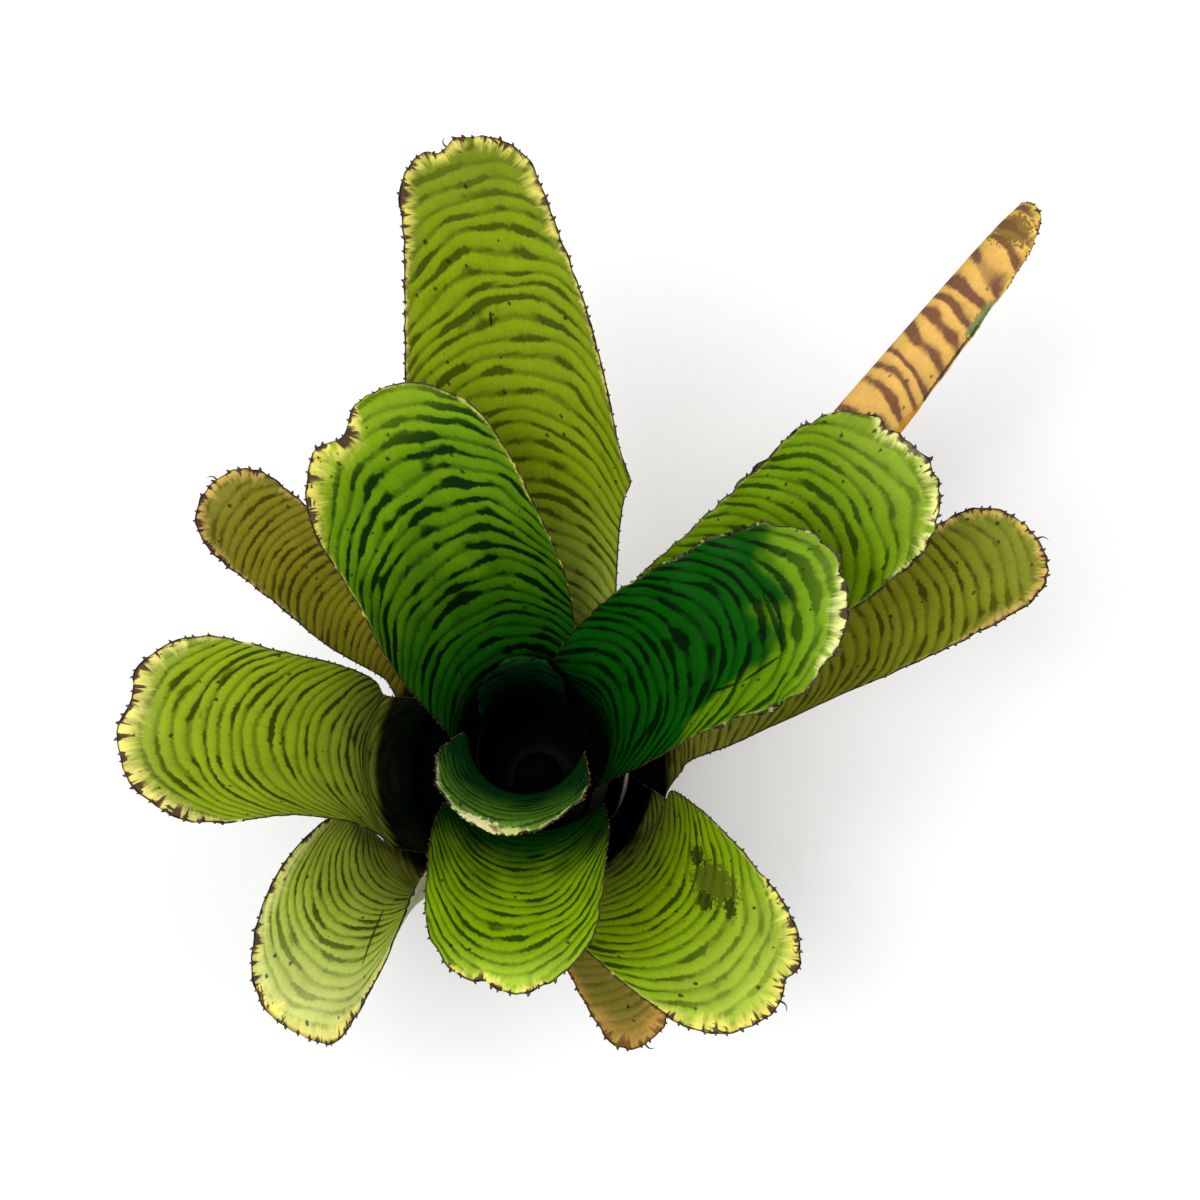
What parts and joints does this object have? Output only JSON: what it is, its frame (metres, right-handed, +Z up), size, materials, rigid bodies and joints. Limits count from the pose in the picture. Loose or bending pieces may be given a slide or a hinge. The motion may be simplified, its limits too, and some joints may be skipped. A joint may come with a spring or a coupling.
{
  "type": "neoregelia",
  "caption": "Tiger-banded bromeliad rosette of toothed strap leaves round an open central cup, on a short cut stem that stands on its flat foot.",
  "frame": {"origin": "middle of the flat cut face under the stem, on the surface the plant stands on", "axes": "+Z up along the stem and the leaf cup, -Y towards the viewer of the picture, +X to the picture's right"},
  "size_m": [0.4199, 0.4112, 0.2605],
  "materials": {
    "young_green": "satin dark green with darker cross bands",
    "leaf_green": "satin yellow-green with dark cross bands",
    "olive_green": "satin olive with brown cross bands",
    "dry_tan": "matte tan brown",
    "old_yellow": "matte yellow with brown cross bands",
    "stem_brown": "rough brown"
  },
  "bodies": {
    "root": {"stem": "stem_brown", "leaf_young": "young_green", "leaf_cup_front": "young_green", "leaf_inner_right": "young_green", "leaf_inner_left": "young_green", "leaf_front": "leaf_green", "leaf_right": "leaf_green", "leaf_back_long": "leaf_green", "leaf_left": "leaf_green", "leaf_front_right": "leaf_green", "leaf_front_left": "leaf_green", "leaf_left_small": "olive_green", "leaf_right_olive": "olive_green", "leaf_front_dry": "dry_tan", "leaf_rolled_yellow": "old_yellow"}
  },
  "joints": []
}
